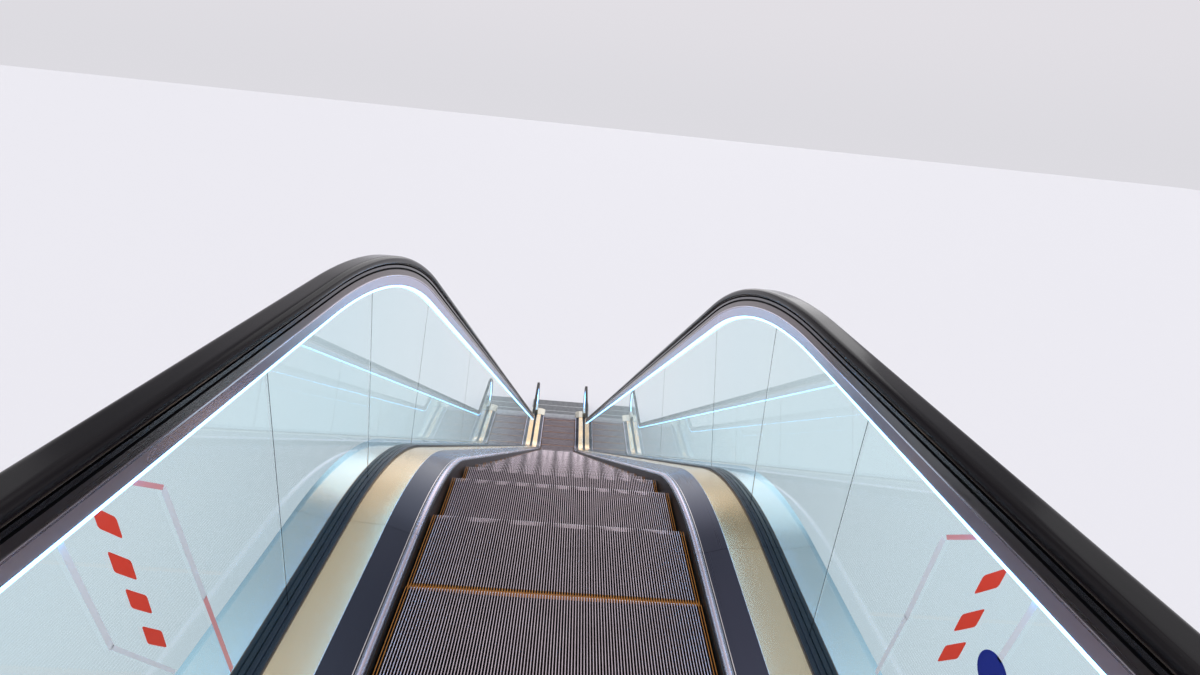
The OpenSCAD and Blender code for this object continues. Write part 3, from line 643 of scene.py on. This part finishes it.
def pane_glass():
    """Clear glass with a blue-green cast, which lets light through where it would cast a shadow."""
    made, tree, shader = new_material("pane glass")
    cast = between(tree, noise(tree, 0.7, detail=2.0), 0, 1)
    tint = blend_colours(tree, cast, (0.72, 0.90, 0.92), (0.76, 0.92, 0.92))
    tree.links.new(tint, shader.inputs["Base Color"])
    shader.inputs["Transmission Weight"].default_value = 1.0
    shader.inputs["IOR"].default_value = 1.46
    tree.links.new(between(tree, noise(tree, 3.0, detail=6.0), 0.0, 0.006), shader.inputs["Roughness"])
    clear = tree.nodes.new("ShaderNodeBsdfTransparent")
    clear.inputs["Color"].default_value = (0.76, 0.92, 0.93, 1)
    path = tree.nodes.new("ShaderNodeLightPath")
    mix = tree.nodes.new("ShaderNodeMixShader")
    tree.links.new(path.outputs["Is Shadow Ray"], mix.inputs["Fac"])
    tree.links.new(shader.outputs["BSDF"], mix.inputs[1])
    tree.links.new(clear.outputs["BSDF"], mix.inputs[2])
    tree.links.new(mix.outputs["Shader"], tree.nodes["Material Output"].inputs["Surface"])
    return made


dress(pane_glass(), "left_glass", "right_glass")

# Marks on the glass
# Thin printed film lies on the inner face of the glass beside the upper landing: a slanting border of
# pale and pink strips, plain red lozenges in it and, on the right, a plain blue disc.
film_gap, film_thickness = 0.0001, 0.0003
film_face = glass_x0 - film_gap
strip_width, mark_round = 0.012, 0.008


def film(name, side, outlines, material):
    """Flat film from (y, h) outlines on the glass, y from the start of the curve and h over the
    treads; each outline becomes a thin plate that stands on the glass's inner face."""
    parts = []
    for outline in outlines:
        outline = np.asarray(outline, float)
        size = len(outline)
        rings = [np.column_stack([np.full(size, SIDES[side] * x), outline[:, 0] + y_up,
                                  outline[:, 1] + z_up]) for x in (film_face, film_face - film_thickness)]
        ids = np.arange(size)
        ahead = np.roll(ids, -1)
        faces = [tuple(ids), tuple(ids[::-1] + size)]
        faces += [tuple(q) for q in np.stack([ids, ids + size, ahead + size, ahead], -1)]
        y, h = outline.T
        if SIDES[side] * np.sum(y * np.roll(h, -1) - np.roll(y, -1) * h) < 0:
            faces = [f[::-1] for f in faces]
        parts.append((np.vstack(rings), faces))
    made = mesh_piece(f"{side}_{name}", *joined(parts), [material])


def strip(start, end, width=strip_width):
    """Outline of a straight strip between two points."""
    start, end = np.array(start), np.array(end)
    run = (end - start) / np.hypot(*(end - start))
    across = np.array([-run[1], run[0]]) * width / 2
    return [start + across, end + across, end - across, start - across]


def lozenge(centre, first, second):
    """A leaning lozenge about its centre, with two given edges and slightly rounded corners."""
    first, second = np.array(first) / 2, np.array(second) / 2
    corners = [-first - second, first - second, first + second, second - first]
    return rounded(np.array(centre) + corners, mark_round, 4)


def disc(centre, radius):
    """A circle of 40 points."""
    turn = np.arange(40) * math.pi / 20
    return np.column_stack([centre[0] + radius * np.cos(turn), centre[1] + radius * np.sin(turn)])


def printed(name, colour, second, rough=0.35):
    """Printed film: an even colour with slow fading and a fine grain in its gloss."""
    return coated(name, colour, second, rough, grain=400.0, relief=0.00002)


red_print = printed("red print", (0.96, 0.075, 0.040), (0.90, 0.062, 0.034))
pale_print = printed("pale print", (0.90, 0.92, 0.97), (0.84, 0.87, 0.94))
pink_print = printed("pink print", (0.90, 0.40, 0.42), (0.82, 0.34, 0.36))
blue_print = printed("blue print", (0.012, 0.030, 0.30), (0.010, 0.024, 0.24))
mark_edges = ((0.046, -0.058), (0.006, -0.050))
left_marks = [(-0.984, 0.802), (-0.970, 0.699), (-0.949, 0.600), (-0.928, 0.493)]
right_marks = [(-0.970, 0.790), (-0.955, 0.682), (-0.943, 0.589)]
left_pale = [strip((-1.079, 0.838), (-1.027, 0.570)), strip((-1.027, 0.572), (-0.892, 0.363), 0.008),
             strip((-0.840, 0.774), (-0.768, 0.440), 0.015)]
left_pink = [strip((-0.916, 0.838), (-0.840, 0.776), 0.010), strip((-0.768, 0.442), (-0.708, 0.162), 0.013)]
right_pale = [strip((-1.072, 0.838), (-1.049, 0.682)), strip((-0.819, 0.770), (-0.788, 0.525), 0.015),
              strip((-0.788, 0.527), (-0.752, 0.315), 0.012)]
right_pink = [strip((-0.826, 0.777), (-0.906, 0.840), 0.010)]
for side, pale, pink, marks in (("left", left_pale, left_pink, left_marks),
                                ("right", right_pale, right_pink, right_marks)):
    film("film_pale_edges", side, pale, pale_print)
    film("film_pink_edges", side, pink, pink_print)
    film("film_marks", side, [lozenge(mark, *mark_edges) for mark in marks], red_print)
disc_place, disc_radius = (-1.046, 0.647), 0.040
film("film_disc", "right", [disc(disc_place, disc_radius)], blue_print)

# Outer decks
# Pale blue-green brushed steel covers the machine outside the glass.
# Each sheet is folded down over the cladding along its outer edge.
x0, x1, top = over_treads("right_outer_deck")
outer_metal = brushed("outer deck metal", (0.48, 0.62, 0.73), (0.53, 0.65, 0.75), 0.22,
                      deck_hairs, deck_streaks, contrast=0.02, relief=0.0000004)
fold = 0.009
flat = deck_sheet(x0, clamp_top, x1, top)
turned_down = [[x1, top - fold], [x1 - sheet_thickness, top - fold],
               [x1 - sheet_thickness, top - sheet_thickness]]
outer_outline = np.vstack([flat[:9], turned_down, flat[10:]])
both_sides("outer_sheet", [outer_outline], deck_lines, [outer_metal, lip_highlight_metal], "outer_deck",
           lip_bands(outer_outline))

# Handrail guides
# An extruded aluminium rail sits on the glass. From its foot up it has a lilac face that leans out to a
# bright lip, a recessed band painted dark brown as shade and reflection, a groove painted black as shade
# and a grey band under the rubber. It goes round both newels.
rail_x0, rail_x1, rail_top = over_treads("right_handrail")
rail_low, rail_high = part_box("right_handrail")
middle_x = (rail_x0 + rail_x1) / 2
rail_width = rail_x1 - rail_x0
rail_height = 0.034
rail_line = rail_top - rail_height / 2
newel_radius = 0.42
newel_y_up = rail_low.y + newel_radius + rail_height / 2
newel_y_low = rail_high.y - newel_radius - rail_height / 2
newel_h = rail_line - newel_radius
NEWEL_STEPS = 40


def rail_route():
    """Line of the handrail's middle: round the upper newel, down the whole way, round the lower newel.
    The turns are half circles about the newel centres; the tilt is that of the outward normal."""
    turn = np.linspace(-math.pi, 0, NEWEL_STEPS + 1)[:-1]
    back = -turn[::-1]
    s = lengths(newel_y_up - y_up, s_low + newel_y_low - y_low)
    y, z, tilt = tread_line(s)
    y = np.concatenate([newel_y_up + newel_radius * np.sin(turn), y + rail_line * np.sin(tilt),
                        newel_y_low + newel_radius * np.sin(back)])
    z = np.concatenate([z_up + newel_h + newel_radius * np.cos(turn), z + rail_line * np.cos(tilt),
                        z_low + newel_h + newel_radius * np.cos(back)])
    return y, z, np.concatenate([turn, tilt, back])


rail_stations = [rail_route()]
band_heights = np.array([0.041, 0.005, 0.022, 0.008, 0.010, 0.004])
light_width, light_height = 0.012, 0.008
glass_half = (glass_x1 - glass_x0) / 2
guide_foot = -rail_height / 2 - band_heights.sum()
band = rail_width / 2 - 0.010
dark_band, groove_band, neck = band - 0.002, band - 0.008, rail_width / 2 - 0.018
# The brown band's and the groove's finishes are dark paint that stands for shade on the one extrusion.
FACE, LIP, BROWN_SHADE, BLACK_SHADE, COLLAR = range(5)


def guide_outline():
    """Right half of the guide from its foot to the rubber, then its mirror image, about the rail's
    middle. Each point starts an edge, and the second list names that edge's finish."""
    lean, rim, chamfer, tuck = 0.001, 0.0007, 0.0005, 0.001
    h = guide_foot + np.concatenate([[0], np.cumsum(band_heights)])
    half = [(glass_half + light_width, h[0], FACE), (dark_band, h[1] - lean, LIP),
            (band - rim, h[1], LIP), (band, h[1] + rim, LIP), (band, h[2] - rim, LIP),
            (dark_band, h[2], BROWN_SHADE), (dark_band, h[3], BLACK_SHADE), (groove_band, h[3] + chamfer, BLACK_SHADE),
            (groove_band, h[4], BLACK_SHADE), (band, h[4] + chamfer, COLLAR), (band, h[5], COLLAR),
            (neck, h[6], BLACK_SHADE), (neck, h[6] + tuck, BLACK_SHADE)]
    right = [(middle_x + u, v) for u, v, _ in half]
    left = [(middle_x - u, v) for u, v, _ in half][::-1]
    finish = [m for _, _, m in half]
    return np.array(right + left), finish[:-1] + [BLACK_SHADE] + finish[:-1][::-1] + [FACE]


def satin_band(name, colour, second, rough):
    """One band of the extrusion: brushed metal whose streaks are few and faint."""
    return brushed(name, colour, second, rough, hairs=(0.8, 220, 1), streaks=(0.2, 6, 1),
                   contrast=0.012, relief=0.0000003)


# The brown band and the groove are painted dark as shade and reflection; the aluminium is the same
# throughout.
guide_finishes = [satin_band("guide face", (0.62, 0.59, 0.73), (0.60, 0.64, 0.80), 0.30),
                  satin_band("guide lip", (0.70, 0.66, 0.76), (0.78, 0.75, 0.86), 0.18),
                  satin_band("guide brown band painted shade", (0.135, 0.112, 0.110), (0.170, 0.145, 0.146), 0.28),
                  coated("guide groove painted shade", (0.004, 0.004, 0.005), (0.006, 0.006, 0.008), 0.6, specular=0.08),
                  satin_band("guide collar", (0.070, 0.066, 0.074), (0.100, 0.096, 0.104), 0.24)]
outline, finish = guide_outline()
both_sides("guide_rail", [outline], rail_stations, guide_finishes, "handrail_guide", finish)

# Light strips
# Opal plastic diffusers glow cold white along the whole rail, one on each side of the glass.
# They are clipped up under the foot of the guide.
diffuser_round = 0.002


def glowing(name, colour, strength):
    """Opal plastic lit from behind, a little uneven along its length."""
    made, tree, shader = new_material(name)
    shader.inputs["Base Color"].default_value = (0.85, 0.95, 1.0, 1)
    shader.inputs["Roughness"].default_value = 0.4
    shader.inputs["Emission Color"].default_value = (*colour, 1)
    cells = noise(tree, 1.0, (14, 2, 1), detail=2.0, space="UV")
    glow = between(tree, cells, strength * 0.92, strength * 1.08)
    tree.links.new(glow, shader.inputs["Emission Strength"])
    return made


def strip_outline(sign):
    """A flat bar under the guide's foot with its lower corners rounded."""
    near = middle_x + sign * (glass_half + slack)
    far = middle_x + sign * (glass_half + slack + light_width)
    low, high = guide_foot - light_height, guide_foot - slack
    return rounded([(near, high), (near, low), (far, low), (far, high)], diffuser_round)


diffuser = glowing("opal diffuser", (0.16, 0.52, 1.0), 5.5)
both_sides("diffuser", [strip_outline(-1), strip_outline(1)], rail_stations, [diffuser], "light_strip")

# Handrails
# A moulded rubber belt, black and polished by hands, closes round the guide in a C section.
# It is joined into one loop; here it ends where it runs into the newel bases.
half_width, half_height = rail_width / 2, rail_height / 2
flat_top = half_width - half_height
arc = np.linspace(math.radians(-90), math.radians(90), 15)
right_end = np.column_stack([flat_top + half_height * np.cos(arc), half_height * np.sin(arc)])
left_end = right_end[::-1] * (-1, 1)
lip_edge, lip_thickness, wall, hollow = neck + slack, 0.008, 0.010, rail_width / 2 - 0.012
lips = -half_height + lip_thickness
inside = [(-lip_edge, -half_height), (-lip_edge, lips), (-hollow, lips), (-hollow, half_height - wall),
          (hollow, half_height - wall), (hollow, lips), (lip_edge, lips), (lip_edge, -half_height)]
crown = np.array([(x, half_height) for x in np.linspace(flat_top, -flat_top, 9)])
rail_outline = np.vstack([right_end, crown[1:-1], left_end, np.array(inside)]) + (middle_x, 0)


def rail_rubber():
    """Polished black rubber with dull patches and fine scratches along it."""
    made, tree, shader = new_material("handrail rubber")
    worn = between(tree, noise(tree, 1.0, (1.2, 18, 1), detail=4.0, space="UV"), 0, 1)
    tree.links.new(blend_colours(tree, worn, (0.006, 0.005, 0.006), (0.010, 0.008, 0.010)),
                   shader.inputs["Base Color"])
    tree.links.new(between(tree, worn, 0.12, 0.20, 0, 1), shader.inputs["Roughness"])
    raise_by(tree, shader, noise(tree, 1.0, (4, 900, 1), detail=3.0, space="UV"), 0.00001)
    shader.inputs["Specular IOR Level"].default_value = 0.1
    return made


both_sides("rail_belt", [rail_outline], rail_stations, [rail_rubber()], "handrail", sharp=40)

# Newel bases
# Pressed steel covers close the ends of the decks; the handrails run into them under the newels,
# through black rubber boots.
base_metal = brushed("newel base metal", (0.60, 0.57, 0.50), (0.64, 0.60, 0.52), 0.30,
                     hairs=(3, 3, 260), streaks=(0.4, 0.4, 14), space="Object", contrast=0.02,
                     relief=0.0000006)
dress(base_metal, "upper_handrail_inlets", "lower_handrail_inlets")
boot_half, boot_low, boot_high, boot_depth = 0.046, newel_h - newel_radius - 0.027, 0.232, 0.010
boot_round = 0.014
boot_outline = rounded([(-boot_half, boot_low), (boot_half, boot_low), (boot_half, boot_high),
                        (-boot_half, boot_high)], boot_round, 6)
boot_rubber = coated("boot rubber", (0.012, 0.012, 0.013), (0.020, 0.020, 0.022), 0.5, grain=500.0)


def boot(centre_x, direction, y, z):
    """A plate with rounded corners whose front face is smaller, so that its rim is a bevel."""
    middle = boot_outline.mean(0)
    rings = [(1.0, 0.0), (1.0, 0.6), (0.94, 1.0)]
    made = [np.column_stack([centre_x + (boot_outline[:, 0] - middle[0]) * k,
                             np.full(len(boot_outline), y + direction * boot_depth * out),
                             z + middle[1] + (boot_outline[:, 1] - middle[1]) * k]) for k, out in rings]
    size = len(boot_outline)
    ids = np.arange(3 * size).reshape(3, size)
    ahead = np.roll(ids, -1, 1)
    faces = [tuple(q) for q in np.stack([ids[:-1], ids[1:], ahead[1:], ahead[:-1]], -1).reshape(-1, 4)]
    faces += [tuple(ids[0]), tuple(ids[-1][::-1])]
    return np.vstack(made), faces if direction > 0 else [f[::-1] for f in faces]


boots = [boot(sign * middle_x, -1, newel_y_up, z_up) for sign in (-1, 1)]
boots += [boot(sign * middle_x, 1, newel_y_low, z_low) for sign in (-1, 1)]
rubber_boots = mesh_piece("handrail_boots", *joined(boots), [boot_rubber])

# Floor, light and camera
# A plain matt floor of a pale tone lies at ground level, under soft and even studio light.
# The camera stands where the photo was taken.
floor_size = 400.0
corners = [(-floor_size, -floor_size, -0.001), (floor_size, -floor_size, -0.001),
           (floor_size, floor_size, -0.001), (-floor_size, floor_size, -0.001)]
floor_mesh = bpy.data.meshes.new("floor")
floor_mesh.from_pydata(corners, [], [(0, 1, 2, 3)])
floor = bpy.data.objects.new("floor", floor_mesh)
bpy.context.scene.collection.objects.link(floor)
floor_paint, tree, shader = new_material("floor paint")
shader.inputs["Base Color"].default_value = (0.74, 0.73, 0.77, 1)
shader.inputs["Roughness"].default_value = 0.9
floor_mesh.materials.append(floor_paint)


SKY = ((0.00, (0.72, 0.71, 0.75)), (0.18, (0.76, 0.74, 0.78)), (0.46, (0.28, 0.29, 0.31)),
       (0.74, (0.66, 0.66, 0.68)))


def studio_world():
    """Soft bands by the height of a direction: pale at the horizon, greyer above, lighter overhead."""
    world = bpy.data.worlds.new("studio")
    world.use_nodes = True
    tree = world.node_tree
    sky = tree.nodes["Background"]
    coords = tree.nodes.new("ShaderNodeTexCoord")
    split = tree.nodes.new("ShaderNodeSeparateXYZ")
    tree.links.new(coords.outputs["Generated"], split.inputs["Vector"])
    bands = tree.nodes.new("ShaderNodeValToRGB")
    bands.color_ramp.interpolation = "EASE"
    for _ in SKY[2:]:
        bands.color_ramp.elements.new(0.5)
    for stop, (height, colour) in zip(bands.color_ramp.elements, SKY):
        stop.position = height
        stop.color = (*colour, 1)
    tree.links.new(split.outputs["Z"], bands.inputs["Fac"])
    tree.links.new(bands.outputs["Color"], sky.inputs["Color"])
    sky.inputs["Strength"].default_value = 1.0
    return world


bpy.context.scene.world = studio_world()


def sun(name, azimuth, elevation, spread, strength):
    """A broad soft light from far away; azimuth 0 comes from +Y and 90 from +X, in degrees. Like every
    lamp it isn't seen by looking straight at it, and here not by looking through the glass either."""
    light = bpy.data.lights.new(name, "SUN")
    light.angle = math.radians(spread)
    light.energy = strength
    made = bpy.data.objects.new(name, light)
    made.visible_transmission = False
    made.rotation_euler = (math.radians(90 - elevation), 0, math.radians(180 - azimuth))
    bpy.context.scene.collection.objects.link(made)


sun("top", 0, 82, 65, 0.6)
sun("front", 8, 16, 38, 0.40)
sun("fill", 190, 35, 90, 0.5)
sun("right", 90, 26, 84, 0.8)
sun("left", 270, 26, 84, 0.8)

bpy.context.scene.view_settings.view_transform = "Standard"
picture_width = 1200
focal_pixels = 623.93
eye_from_curve = (-0.0401, -1.8883, 1.5368)
yaw, pitch, roll = (math.radians(a) for a in (3.358, 19.836, 6.025))
lens = bpy.data.cameras.new("view down the steps")
lens.sensor_width = 36
lens.lens = lens.sensor_width * focal_pixels / picture_width
camera = bpy.data.objects.new("view down the steps", lens)
camera.location = (eye_from_curve[0], y_up + eye_from_curve[1], z_up + eye_from_curve[2])
camera.rotation_mode = "QUATERNION"
tipped = Matrix.Rotation(math.pi / 2 - pitch, 3, "X") @ Matrix.Rotation(roll, 3, "Z")
camera.rotation_quaternion = (Matrix.Rotation(-yaw, 3, "Z") @ tipped).to_quaternion()
bpy.context.scene.collection.objects.link(camera)
bpy.context.scene.camera = camera
